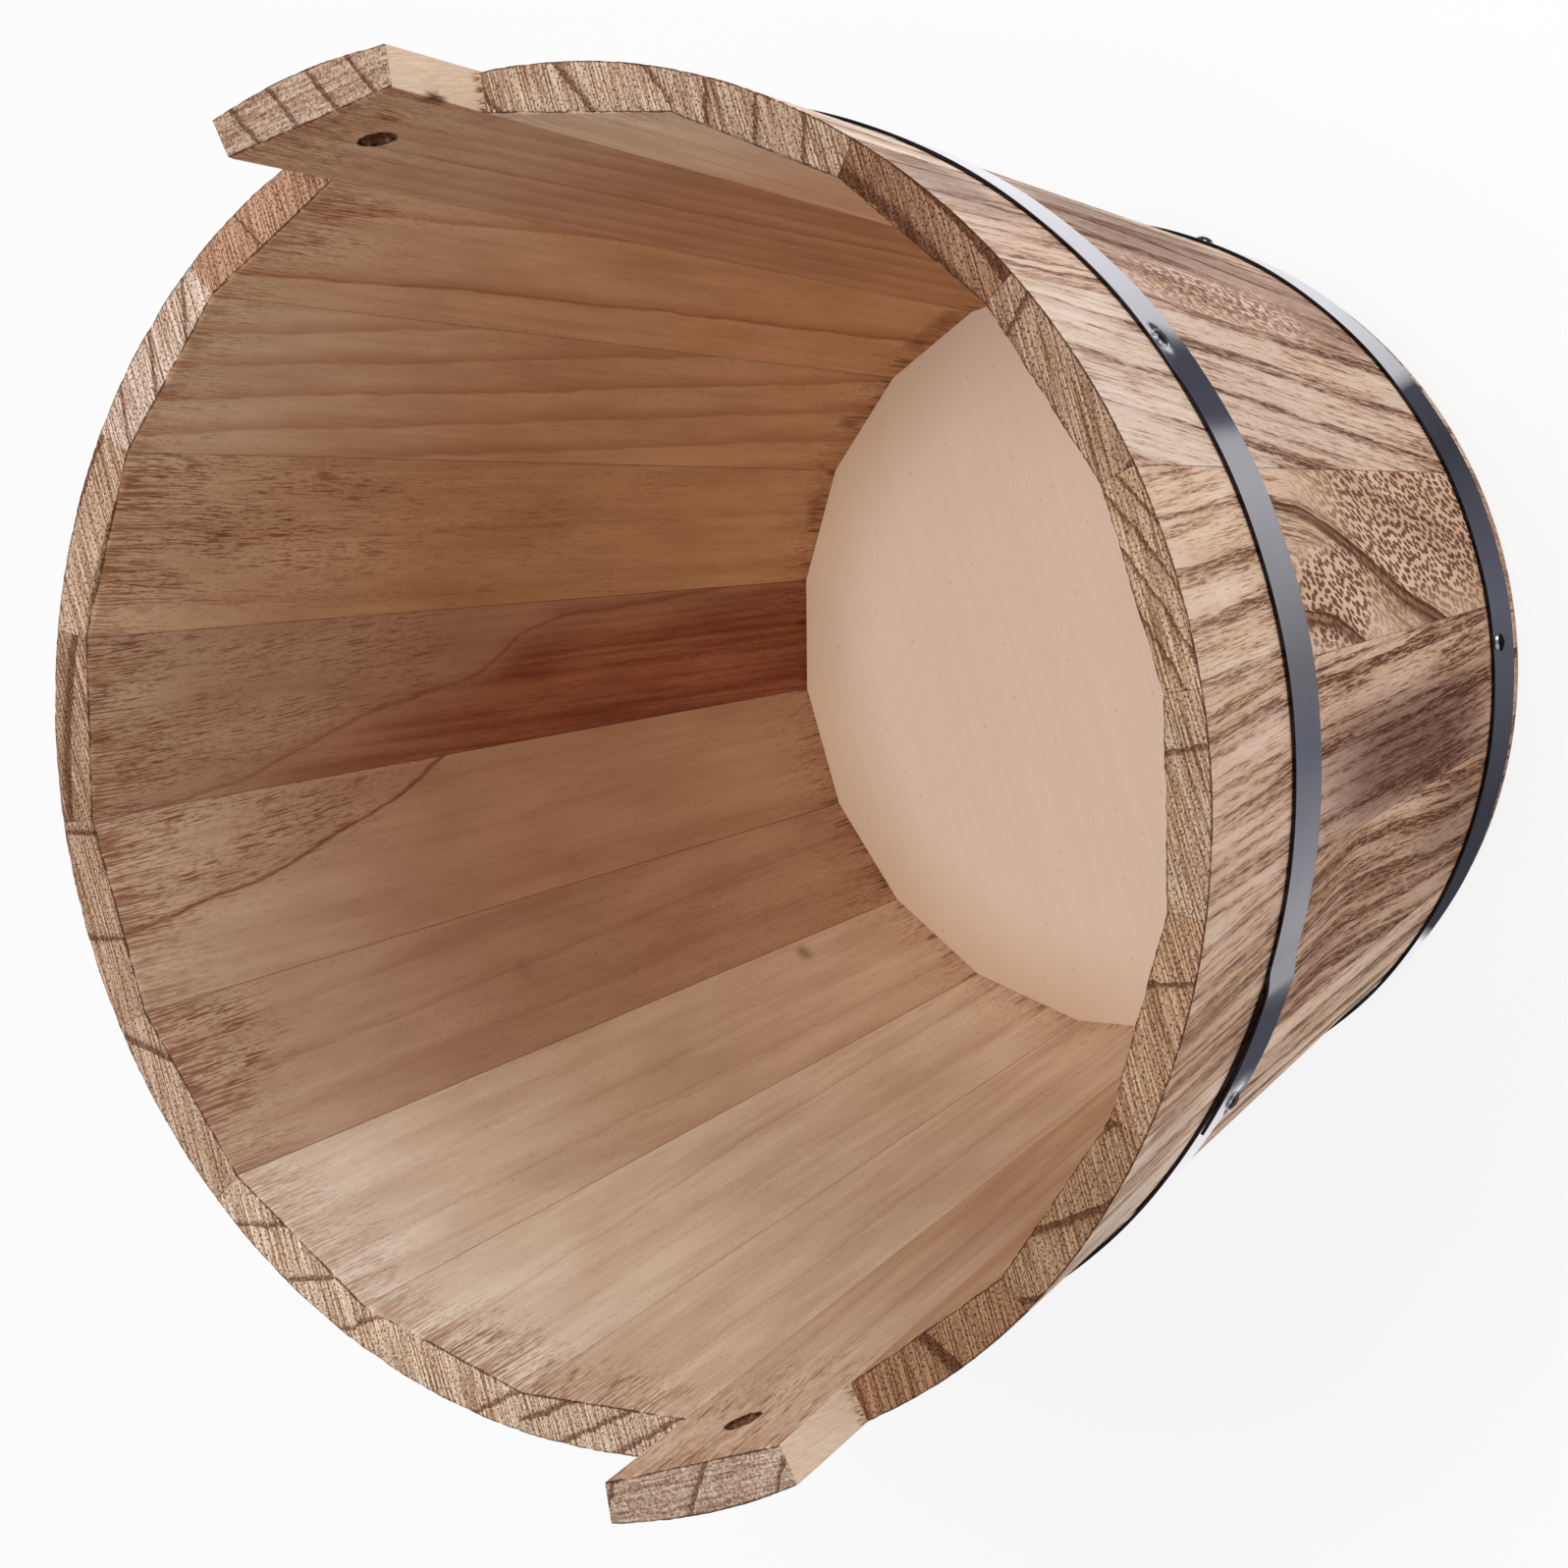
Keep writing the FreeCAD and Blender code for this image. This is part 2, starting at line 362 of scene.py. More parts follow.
def joints_of(node):
    """The angles of a stave's two joints, read on its solid."""
    points = points_of(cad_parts[node])
    middle = math.atan2(points[:, 1].mean(), points[:, 0].mean())
    turn = np.angle(np.exp(1j * (np.arctan2(points[:, 1], points[:, 0]) - middle)))
    return middle + turn.min(), middle + turn.max()


def torn_edge(chance, side, size):
    """A ragged line across a stave, in metres: mostly fine, with a few deeper tears."""
    fine = np.interp(side, np.linspace(-1, 1, 61), np.abs(chance.normal(0, 1, 61)))
    coarse = np.interp(side, np.linspace(-1, 1, 13), np.clip(chance.normal(0, 1, 13), 0, 3))
    return size * (0.5 * fine + 0.5 * coarse)


def bend(points, start, end, top, chance):
    depth, side, z = points[:, 0] / WALL, points[:, 1] / (BLOCK_WIDTH / 2), points[:, 2].copy()
    share, height = ROWS[top]
    inner_rows = (z > ARRIS * 0.99) & (z < top - ARRIS * 0.99)
    z[inner_rows] = np.interp((z[inner_rows] - ARRIS) / (top - 2 * ARRIS), share, height)
    near_end = np.clip(1 - (top - z) / EDGE_REACH, 0, 1)
    tear = near_end * np.clip(1 - depth / 0.10, 0, 1) * torn_edge(chance, side, TEAR)
    wear = near_end * np.clip(1 - (1 - depth) / 0.08, 0, 1) * torn_edge(chance, side, WEAR)
    depth = depth + (tear - wear) / WALL
    z = z - 0.7 * tear - 0.6 * wear
    outside = BASE_RADIUS + TAPER * z
    inside = outside - WALL
    angle = (start + end) / 2 + side * (end - start) / 2
    left, right = (1 - side) / 2 * inside, (1 + side) / 2 * inside
    x_in = left * math.cos(start) + right * math.cos(end)
    y_in = left * math.sin(start) + right * math.sin(end)
    x = x_in + depth * (outside * np.cos(angle) - x_in)
    y = y_in + depth * (outside * np.sin(angle) - y_in)
    return np.stack([x, y, z], axis=1)


def chip(points, place, reach, deep, inward):
    """Breaks a little wood out of an arris."""
    away = np.linalg.norm(points - np.array(place), axis=1)
    rough = np.array([0.6 + 0.8 * noise.noise(Vector(point) * 900) for point in points])
    return points + (deep * rough * np.exp(-(away / reach) ** 4))[:, None] * np.array(inward)


STAVES = sorted((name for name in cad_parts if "stave" in name), key=lambda name: int(name[-2:]))
staves = []
for number, node in enumerate(STAVES):
    block, top = (ear_block, EAR_TOP) if node.startswith("ear") else (plain_block, RIM_HEIGHT)
    stave = copy_of(block, "wood_" + node)
    points = bend(points_of(stave), *joints_of(node), top, np.random.default_rng(100 + number))
    if number == 0:
        points = chip(points, place=(0.1424, -0.0226, 0.2640), reach=0.0016, deep=0.0010, inward=(0.7, 0.7, 0.0))
    stave.data.vertices.foreach_set("co", points.ravel())
    stave.data.update()
    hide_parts(node)
    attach(stave, "root")
    staves.append(stave)
for block in (plain_block, ear_block):
    bpy.data.objects.remove(block)
print(len(staves), "staves bent")

# %% [markdown]
# The groove for the bottom board and the rope holes are cut as a cooper would, after the stave is shaped. A
# Boolean with a cutter is the plain way. The drill's cutter is a little uneven, because a drill tears fibres.

# %% Groove and rope holes
def cutter(name, radius, depth, sides, place):
    bpy.ops.mesh.primitive_cylinder_add(vertices=sides, radius=radius, depth=depth, location=place)
    tool = bpy.context.object
    tool.name = name
    return tool


def cut(piece, tool):
    modifier = piece.modifiers.new(tool.name, "BOOLEAN")
    modifier.operation = "DIFFERENCE"
    modifier.object = tool
    modifier.solver = "EXACT"
    bpy.context.view_layer.objects.active = piece
    bpy.ops.object.modifier_apply(modifier=modifier.name)


PLAY = 0.0001
low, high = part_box("bottom_board")
groove = cutter("groove", high[0] + PLAY, high[2] - low[2] + PLAY, 180, (0, 0, (low[2] + high[2] + PLAY) / 2))
for stave in staves:
    cut(stave, groove)
bpy.data.objects.remove(groove)

TILT = math.atan(TAPER)
HOLE = Vector((0.146363, 0, 0.256355))
HOLE_RADIUS = 0.004
for stave, side in ((staves[0], 1), (staves[10], -1)):
    drill = cutter("drill", HOLE_RADIUS, 0.04, 36, (HOLE.x * side, 0, HOLE.z))
    drill.rotation_euler = (0, side * (math.pi / 2 + TILT), 0)
    for vertex in drill.data.vertices:
        uneven = 1 + 0.06 * noise.noise(vertex.co * 900 + Vector((side * 7, 0, 0)))
        vertex.co.x *= uneven
        vertex.co.y *= uneven
    bpy.context.view_layer.update()
    cut(stave, drill)
    bpy.data.objects.remove(drill)
print("cut", sum(len(stave.data.polygons) for stave in staves), "faces in all staves")

# %% [markdown]
# ## How each stave grew
# Wood figure is growth rings cut by a saw. Straight-grained boards show them as lines, and where the trunk
# swelled round a branch they swing across the board and its pores are cut short, to dots. A shader alone can't
# know which board it is on, so each stave stores its own rings: the path of one ring line up the outside and up
# the inside, the gaps between rings, and where a ring crosses the sawn rim, outside and inside. Patches of wash,
# dots, stain and pores are soft ovals with a middle, half a width, half a length and a strength. All are in
# millimetres: up the stave, then across it, and for a patch across, then up. Each face has its own tint.

# %% Ring lines of each stave
def board(number, **known):
    """One stave's figure: straight, slightly slanting rings from a fixed chance, unless known."""
    chance = np.random.default_rng(40 + number)
    slant, start, rings = chance.uniform(-0.06, 0.08), chance.uniform(-8, 8), chance.uniform(8, 14)
    figure = dict(out_path=((0, start - slant * 247), (247, start)), out_rings=((0, rings), (247, rings)),
                  in_path=((0, start - 3 - slant * 247), (247, start - 3)), in_rings=rings,
                  rim=(start, start - chance.uniform(-6, 8), rings),
                  wash=[(chance.uniform(-15, 15), chance.uniform(30, 170), 9, 50, chance.uniform(0.2, 0.9))],
                  dots=[(chance.uniform(-12, 12), chance.uniform(30, 150), 9, 40, chance.uniform(0, 0.8))],
                  stain=[], pores=[], below=0.0, red=0.0, line=0.12, soft=0.2, pale=0.0, last_line=99,
                  end_line=1.7, scorch=chance.uniform(0.25, 0.6),
                  bare=(0.85, 0.80, 0.76), coat=(0.90, 0.84, 0.85), end=(0.8, 0.8, 0.8))
    figure.update(known)
    return figure


BOARDS = [
    board(0, in_path=((0, -8), (279, 5)), in_rings=6, rim=(-2.1, -6.7, 11), line=0.4, soft=0.4,
          pores=[(0, 262, 26, 30, 0.5)],
          stain=[(-22.3, 264, 1.7, 3.4, 1.0)],
          bare=(0.93, 0.89, 0.87), end=(0.77, 0.80, 0.92)),
    board(1, in_path=((0, 0), (120, 4.5), (180, 8), (247, 14)), in_rings=24, rim=(6, 4, 30),
          line=0.40, soft=0.8, end_line=1.0,
          pores=[(-8, 222, 14, 22, 0.5)], stain=[(-7, 14, 8, 4, 0.35), (1, 14, 2, 4, 0.4)],
          bare=(1.04, 1.01, 0.95), end=(0.76, 0.65, 0.64)),
    board(2, in_path=((0, -14), (247, 8)), in_rings=9.5, rim=(-4.2, 5.8, 15.5), line=0.15, soft=0.7, end_line=1.4,
          stain=[(0, 14, 1.4, 4, 0.6)], pale=0.5, bare=(0.96, 0.95, 0.92), end=(1.03, 1.13, 1.37)),
    board(3, in_path=((0, -4), (150, 0), (210, 0), (247, -8)), in_rings=16, rim=(16, -190, 230),
          line=0.15, end_line=1.6, stain=[(-5, 12, 6, 2.5, 0.4)],
          pores=[(-4, 205, 20, 40, 0.9), (0, 120, 22, 60, 0.35)],
          pale=1.1, bare=(0.85, 0.79, 0.70), end=(0.88, 0.88, 0.94)),
    board(4, in_path=((0, -16), (100, -12), (112, -9), (125, 0), (165, 6), (200, 17), (247, 24)), in_rings=200,
          rim=(70, -52, 130), line=0.5, end_line=3.2, below=0.65, red=1.0,
          pale=0.8, bare=(0.68, 0.62, 0.61), end=(0.68, 0.63, 0.66)),
    board(5, in_path=((0, -75), (100, -34), (120, -26), (140, -18), (165, -9), (200, 0), (247, 5.5)), in_rings=200,
          rim=(3.3, 5.8, 25), line=1.0, below=0.85, stain=[(13, 107.5, 1.1, 1.0, 0.9)],
          pale=1.2, bare=(0.78, 0.75, 0.76), end=(0.73, 0.69, 0.72)),
    board(6, in_path=((0, -6), (247, 2)), in_rings=12, rim=(-19.6, -9.6, 60), line=0.15, end_line=2.4,
          stain=[(-1, 139, 3.4, 1.5, 0.45), (-14, 20, 5, 9, 0.25)],
          pores=[(-8, 240, 14, 26, 0.9), (8, 60, 16, 50, 0.25)],
          pale=0.8, bare=(0.73, 0.70, 0.71), end=(0.83, 0.83, 0.91)),
    board(7, in_path=((0, 9), (247, 9)), in_rings=9, rim=(2.9, 12, 18), line=0.15,
          stain=[(-12.5, 51, 2.2, 2.4, 0.65)],
          pale=0.7, bare=(1.06, 1.25, 1.46), end=(1.02, 1.11, 1.26)),
    board(8, in_path=((0, -8), (120, -7), (247, -2)), in_rings=14, rim=(12.9, 22.5, 40), line=0.2,
          pores=[(10, 243, 14, 16, 0.7)],
          pale=-0.5, bare=(1.15, 1.44, 1.76), end=(0.98, 1.04, 1.16)),
    board(9, in_path=((0, 2), (247, 6)), in_rings=13, rim=(-11, 6, 15), line=0.15, pores=[(-6, 247, 16, 16, 1.0)],
          pale=-1.0, bare=(1.09, 1.32, 1.58), end=(0.92, 0.99, 1.12)),
    board(10, in_path=((0, 0), (279, 8)), in_rings=8, rim=(-3.3, 3.3, 23), line=0.2, pores=[(0, 258, 26, 40, 1.2)],
          bare=(0.96, 1.04, 1.13), end=(0.80, 0.87, 1.03)),
    board(11, rim=(4, 1, 38), end_line=4.0,
          end=(0.47, 0.37, 0.31)),
    board(12, out_path=((0, -4), (180, 6), (247, 2)), out_rings=((0, 10), (247, 10)), rim=(10, -5, 27),
          end_line=2.6, scorch=0.35, wash=[(8, 75, 8, 40, 0.15), (0, 228, 26, 24, 0.3)], dots=[],
          coat=(1.25, 1.24, 1.29), end=(0.52, 0.45, 0.40)),
    board(13, out_path=((0, -4), (60, 0), (100, 5), (140, 8), (185, 4), (247, 0)), out_rings=((0, 9), (247, 9)),
          rim=(11.7, 8.3, 40), scorch=0.55, wash=[(0, 110, 40, 140, 0.18), (4, 45, 9, 35, 0.4)], dots=[],
          coat=(1.12, 1.06, 1.11), end=(0.63, 0.56, 0.52)),
    board(14, out_path=((0, 19), (60, 17.5), (170, 16.5), (247, 12.5)), out_rings=((0, 15), (247, 15)),
          rim=(12.5, 10.8, 38), scorch=0.45, wash=[(-7, 98, 14, 70, 0.9)], dots=[],
          coat=(0.99, 0.91, 0.94), end=(0.68, 0.68, 0.72)),
    board(15, out_path=((0, -34), (60, -18), (100, -8), (125, 3), (150, 12), (185, 16), (247, 12)),
          out_rings=((0, 25), (177, 25), (190, 11), (247, 11)), rim=(-2.5, 20.8, 14),
          end_line=1.3, scorch=0.4, wash=[], last_line=8,
          dots=[(9, 68, 26, 72, 1.2), (-10, 150, 11, 24, 1.2)],
          coat=(0.98, 0.93, 0.93), end=(0.71, 0.69, 0.68)),
    board(16, out_path=((0, -3), (180, 13), (247, 19)), out_rings=((0, 13), (247, 13)), rim=(18.7, 15, 40),
          scorch=0.3, wash=[], dots=[],
          coat=(0.92, 0.91, 0.97), end=(0.60, 0.55, 0.58)),
    board(17, out_path=((0, -10), (60, -4), (120, 4), (180, 8), (247, 4)), out_rings=((0, 11), (247, 11)),
          rim=(16, -95, 115), end_line=4.0, scorch=0.4,
          wash=[(12, 118, 12, 60, 0.65), (-4, 40, 20, 24, 0.4), (12, 225, 14, 24, 0.6)],
          dots=[(-9, 110, 10, 60, 0.9)],
          coat=(0.96, 0.92, 1.00), end=(0.47, 0.37, 0.34)),
    # Board 18's paler, bluer coat is a painted sheen, where its outside is seen at a grazing angle.
    board(18, rim=(3.3, 0.4, 12.5), scorch=0.25, wash=[(-14, 110, 8, 60, 0.7)], dots=[], coat=(1.02, 1.02, 1.10),
          end=(0.67, 0.67, 0.73)),
    board(19, in_path=((0, 4), (247, 12)), in_rings=26, rim=(7.1, -1.7, 23), scorch=0.4,
          wash=[(0, 50, 20, 50, 0.6)],
          bare=(1.40, 1.65, 1.90), end=(0.79, 0.82, 0.91)),
]
print(len(BOARDS), "boards, swirled ones 4, 5 and 15")

# %% [markdown]
# A path runs smoothly through a few knots. Tones change from foot to rim, on all boards: outside, the part between
# the hoops is darker. Inside they are painted light and shade: the middle is painted browner and darker than the
# foot and the rim, as shade where light falls off down the wall, and the rim is painted paler, as light from the
# open mouth. This is stronger on boards with a higher exponent for these tones. Each tone knot is a height, then
# red, green and blue.

# %% Paths, patches and tones
DARKER_FOOT = ((30, 0.88, 0.90, 0.92), (150, 0.82, 0.84, 0.88), (185, 0.86, 0.92, 0.98), (205, 0.90, 0.98, 1.06))
# Painted shade in the middle of the inside wall, and painted light at its rim.
PAINTED_SHADE_MIDDLE = ((50, 1.09, 1.03, 0.95), (140, 0.99, 0.92, 0.86), (230, 0.99, 1.01, 1.06),
                 (262, 1.09, 1.13, 1.21))
PAINTED_LIGHT_RIM = ((50, 1, 1, 1), (140, 0.95, 0.93, 0.90), (230, 1.07, 1.13, 1.20))


def along(z, knots):
    """A smooth curve through a few (place, value) pairs."""
    fine = np.arange(-30, 320.0)
    values = np.interp(fine, *np.transpose(knots))
    smooth = np.convolve(np.pad(values, 12, "edge"), np.hanning(27)[1:-1] / 13.0, "valid")
    return np.interp(z, fine, smooth)


def patches(across, z, spots):
    """Soft oval patches: middle across and up, half width, half length, strength."""
    total = np.zeros(len(z))
    for middle, height, wide, long, strength in spots:
        total += strength * np.exp(-((across - middle) / wide) ** 4 - ((z - height) / long) ** 4)
    return total


def below(line, soft):
    """1 well below a ring line, 0 well above it."""
    return 1 / (1 + np.exp(line / soft))


def tones(z, knots):
    """Red, green and blue at each height, and a fourth part that changes nothing."""
    heights, *colour = np.transpose(knots)
    return np.stack([np.interp(z, heights, part) for part in colour] + [np.ones(len(z))], 1)


print("tone outside at 150 mm", tones(np.array([150.0]), DARKER_FOOT)[0])

# %% [markdown]
# Each stave then stores, at every point, how far the point lies from the outside, the joints, the ends and the
# inside, its place along the grain, its ring counts, and its patches of wash, dots, pores and stain. The shader
# reads these as attributes, so a pattern belongs to its piece and stays with it. An attribute holds three or four
# values. Staves' heights are set far apart, so that no two boards share their noise.

# %% Store the figure
WALL_MM = WALL * 1000
BETWEEN_STAVES = 300


def store(piece, name, *columns):
    """Keeps three or four values at every point. A single number is the same all over."""
    kind, field = ("FLOAT_VECTOR", "vector") if len(columns) == 3 else ("FLOAT_COLOR", "color")
    values = np.stack(np.broadcast_arrays(*columns), 1)
    attribute = piece.data.attributes.new(name, kind, "POINT")
    attribute.data.foreach_set(field, np.asarray(values, "f").ravel())


def pick(piece):
    """Makes a piece active, and the only one selected."""
    bpy.ops.object.select_all(action="DESELECT")
    piece.select_set(True)
    bpy.context.view_layer.objects.active = piece


for number, (stave, node, figure) in enumerate(zip(staves, STAVES, BOARDS)):
    first, last = joints_of(node)
    points = points_of(stave) * 1000
    radius, z = np.hypot(points[:, 0], points[:, 1]), points[:, 2]
    turn = np.angle(np.exp(1j * (np.arctan2(points[:, 1], points[:, 0]) - (first + last) / 2)))
    depth = BASE_RADIUS * 1000 + TAPER * z - radius
    across = radius * np.sin(turn)
    to_joint = radius * np.sin((last - first) / 2 - np.abs(turn))
    to_end = np.minimum(z.max() - z, z - z.min())
    from_inside = radius * np.cos(turn) - (radius + depth - WALL_MM) * math.cos((last - first) / 2)
    store(stave, "place", depth, to_joint, to_end, from_inside)

    out_line, in_line = across - along(z, figure["out_path"]), across - along(z, figure["in_path"])
    store(stave, "lines", out_line, in_line, z + BETWEEN_STAVES * number, across)

    outer, inner, spacing = figure["rim"]
    end_line = across - outer - (inner - outer) * depth / WALL_MM
    out_spacing = np.interp(z, *np.transpose(figure["out_rings"]))
    end_spacing = spacing / math.hypot(1, (inner - outer) / WALL_MM)
    store(stave, "rings", out_line / out_spacing, in_line / figure["in_rings"], end_line / spacing)
    store(stave, "spacings", out_spacing, figure["in_rings"], end_spacing, figure["end_line"])

    pores = patches(across, z, figure["pores"])
    pores = pores + figure["below"] * below(in_line, 1.5) * np.clip((z - 120) / 30, 0, 1)
    red = figure["red"] * (1 - below(in_line, 2.5)) * np.interp(z, (120, 210), (1, 0.4))
    store(stave, "patches", patches(across, z, figure["wash"]), patches(across, z, figure["dots"]), pores, red)

    in_strength = figure["line"] * (0.12 + 0.88 / (1 + (in_line / figure["in_rings"] / 0.6) ** 8))
    out_strength = below(out_line - figure["last_line"], 1.5)
    store(stave, "knobs", in_strength, out_strength, patches(across, z, figure["stain"]), figure["scorch"])

    # Painted light and shade down the inside wall, scaled for each board.
    inside_painted_light = tones(z, PAINTED_SHADE_MIDDLE) * tones(z, PAINTED_LIGHT_RIM) ** figure["pale"]
    store(stave, "bare", *(inside_painted_light * (*figure["bare"], figure["soft"])).T)
    store(stave, "coat", *(tones(z, DARKER_FOOT) * (*figure["coat"], 1)).T)
    store(stave, "end", *figure["end"], np.ones(len(z)))
    pick(stave)
    bpy.ops.object.shade_smooth_by_angle(angle=math.radians(30))
print("figure stored on", len(staves), "staves")

# %% [markdown]
# ## Stave wood
# The wood is light and fast-grown, with rings about a centimetre apart and coarse pores. One finish serves all
# staves. It first takes apart what they stored. A ring ends in darker wood and a thin dark line, and `ring_marks`
# makes both from a ring count and the gap between rings. The helpers add their nodes to the finish in hand, the
# one that `spot` belongs to.

# %% What the finish reads
wood, wood_shader, spot = new_finish("stave_wood")


def stored(name, out=1):
    return spot.node("ShaderNodeAttribute", {"attribute_name": name}, out=out)


def four(name):
    """The values of an attribute of four."""
    first = spot.node("ShaderNodeSeparateColor", {}, {0: stored(name, 0)})
    return first, first.out(1), first.out(2), stored(name, 3)


def three(whole):
    """The parts of a vector."""
    first = spot.node("ShaderNodeSeparateXYZ", {}, {0: whole})
    return first, first.out(1), first.out(2)


def vector(x, y, z):
    return spot.node("ShaderNodeCombineXYZ", {}, {0: x, 1: y, 2: z})


def tinted(colour, name):
    """A colour multiplied by a stored one."""
    return spot.node("ShaderNodeMix", {"data_type": "RGBA", "blend_type": "MULTIPLY"},
                     {0: 1.0, 6: colour, 7: stored(name, 0)}, out=2)


def ring_marks(ring, gap, sway, line_width, fade, sharpness=0.25):
    """The darkening in the last millimetres of a ring, its dark line, and the place across that line."""
    before = (1 - ring.math("FRACT", ring + sway / gap)) * gap
    sharp = before.step(0.0, sharpness)
    line = (1 - before.step(line_width * 0.5, line_width)) * sharp
    return (1 - before.step(0.0, fade)) * sharp, line, before / line_width


x, y, z = three(spot)
depth, to_joint, to_end, from_inside = four("place")
out_line, in_line, height, across = four("lines")
out_ring, in_ring, end_ring = three(stored("rings"))
out_gap, in_gap, end_gap, end_width = four("spacings")
wash, dotted, pored, red = four("patches")
in_strength, out_strength, stain, scorch = four("knobs")
print("stave wood reads with", len(wood.node_tree.nodes), "nodes")

# %% [markdown]
# Outside, the wood was scorched and brushed, so its pores are burnt to dark strokes on cream wood. The strokes
# come from noise that is stretched along the grain and then cut off sharply by a step. They are denser where the
# fire stayed longer, and weaker above the upper hoop. Where the grain swings across the board, pores are cut short
# and dots take the place of strokes. Wide rings are brown bands with two dark rims.

# %% Scorched outside
grain = vector(out_line, height, 0.0)
sway = (grain.stretched(0.20, 0.008).grain(3, 0.6) - 0.5) * 9
late, line, within = ring_marks(out_ring, out_gap, sway, (out_gap * 0.20).at_most(5.0),
                                (1.5 + out_gap * 0.25).at_most(8.0))
fibre = grain.stretched(2.5, 0.070).grain(2, 0.6)
hair = grain.stretched(5.2, 0.20).grain(2, 0.6)
streak = grain.stretched(0.6, 0.010).grain(2, 0.55)
cloud = grain.stretched(0.10, 0.012).grain(3)
dot = (grain.stretched(0.72, 0.31).spots(0.26, 0.52) + (hair - 0.5) * 1.3).step(0.30, 0.60)
short = dotted.at_most(1.0)
dense = (late * 0.55 + (streak - 0.5) * 2.2 + (cloud - 0.5) * 1.5 + scorch).step(0.15, 0.95)
paler = z.step(0.185, 0.215)
stroke = (fibre * 0.55 + hair * 0.45 + dense * 0.10 - paler * 0.02).step(0.545, 0.61)
mark = (stroke * (0.70 + dense * 0.30 - paler * 0.2) * (1 - short * 0.8)).at_least(dot * short)
haze = (fibre * 0.5 + streak * 0.5 + dense * 0.10).step(0.42, 0.66) * (1 - short * 0.7)
cream = (cloud * 0.6 + hair * 0.4 + (scorch - 0.4) * 0.6).step(0.32, 0.78)
coat = cream.mix(paint(240, 212, 184), paint(206, 162, 122))
coat = (haze * 0.40).mix(coat, paint(178, 124, 82))
coat = (late * 0.35).mix(coat, paint(156, 102, 64))
coat = (wash.at_most(1.0) * (0.45 + fibre * 0.5 + hair * 0.3)).at_most(0.95).mix(coat, paint(100, 76, 63))
coat = (mark * 0.92).mix(coat, dense.at_least(short * 0.75).mix(paint(150, 92, 52), paint(86, 48, 26)))
band = line * out_strength * out_gap.step(16, 22)
coat = (band * (0.10 + fibre * 0.6 + hair * 0.4)).at_most(0.9).mix(coat, paint(138, 92, 62))
rims = band * (1 - within.step(0.10, 0.30)).at_least(within.step(0.42, 0.62))
coat = (rims * (0.15 + fibre * 0.8 + hair * 0.5)).at_most(0.95).mix(coat, paint(74, 42, 24))
coat = tinted(coat, "coat")
print("with the outside", len(wood.node_tree.nodes), "nodes")

# %% [markdown]
# Inside, the wood is bare and planed. Broad soft tones lie under the ring lines, and one board has a rosy heart.
# Burnt strokes show only near the rim, where the flame licked over it, and in patches. At the foot, dark streaks
# above the bottom board are painted shade in the corner where the wall meets it.

# %% Bare inside
straight = vector(across, height, 8.0)
grain = vector(in_line * 0.3 + across * 0.7, height, 4.0)
sway = straight.stretched(0.10, 0.012).grain(3, 0.6) * 3 + straight.stretched(0.15, 0.07).grain(2) * 2
late, line, _ = ring_marks(in_ring, in_gap, sway - 2.5, 1.8, 5.5, 0.8)
soft = straight.stretched(0.45, 0.010).grain(3, 0.6)
broad = straight.stretched(0.10, 0.020).grain(3, 0.55)
nap = straight.stretched(1.6, 0.25).grain(2, 0.6)
flame = 1 - to_end.step(2.0, 38.0)
open_pores = (pored + flame * 0.65).at_most(1.0)
many = open_pores * grain.stretched(0.14, 0.030).grain(2).step(0.22, 0.58)
fine = grain.stretched(2.4, 0.10).grain(2, 0.6)
strokes = (fine + many * 0.07 + (nap - 0.5) * 0.2).step(0.595, 0.655) * (0.10 + many * 0.72)
dash = grain.stretched(1.0, 0.26).spots(0.08, 0.30)
speck = straight.stretched(0.8, 0.40).spots(0.06, 0.18)
speck = speck * straight.stretched(0.30, 0.005).grain(2).step(0.52, 0.60)
lick = (straight.stretched(2.2, 0.018).grain(2, 0.6) * 0.8 + nap * 0.2 - to_end * 0.0065).step(0.47, 0.53)
pore_in = (dash * many * 0.5).at_least(strokes).at_least(speck * 0.35).at_least(lick * open_pores * 0.7)
bare = (soft * 0.35 + broad * 0.65).step(0.28, 0.72).mix(paint(216, 181, 148), paint(191, 152, 120))
bare = ((nap - 0.5) * (0.5 + open_pores * 0.5)).at_least(0.0).mix(bare, paint(154, 106, 68))
rosy = (soft * 0.4 + broad * 0.4 + nap * 0.2).step(0.36, 0.62).mix(paint(190, 121, 87), paint(138, 72, 48))
bare = (red * (0.60 + soft * 0.5)).at_most(1.0).mix(bare, rosy)
bare = (late * stored("bare", 3) * (0.3 + fine * 0.7)).mix(bare, paint(160, 104, 66))
bare = (line * in_strength * (0.35 + fine * 0.7)).mix(bare, paint(124, 70, 36))
bare = pore_in.mix(bare, paint(122, 64, 26))
# Painted shade: dark streaks at the foot, in the corner where the wall meets the bottom board.
corner_shade = (straight.stretched(0.8, 0.05).grain(2, 0.65) - z.step(0.006, 0.026) * 0.25).step(0.52, 0.60)
bare = (corner_shade * 0.6).mix(bare, paint(96, 48, 20))
# The stored tint also carries the painted light and shade of the inside wall.
bare = tinted(bare, "bare")
print("with the inside", len(wood.node_tree.nodes), "nodes")

# %% [markdown]
# The sawn ends show the rings edge on, the pores as dots, and the marks of the sander, which all run one way
# across the pot. The ears were sanded by themselves, so their marks run the other way. The rim's edges are
# darkened by the fire.

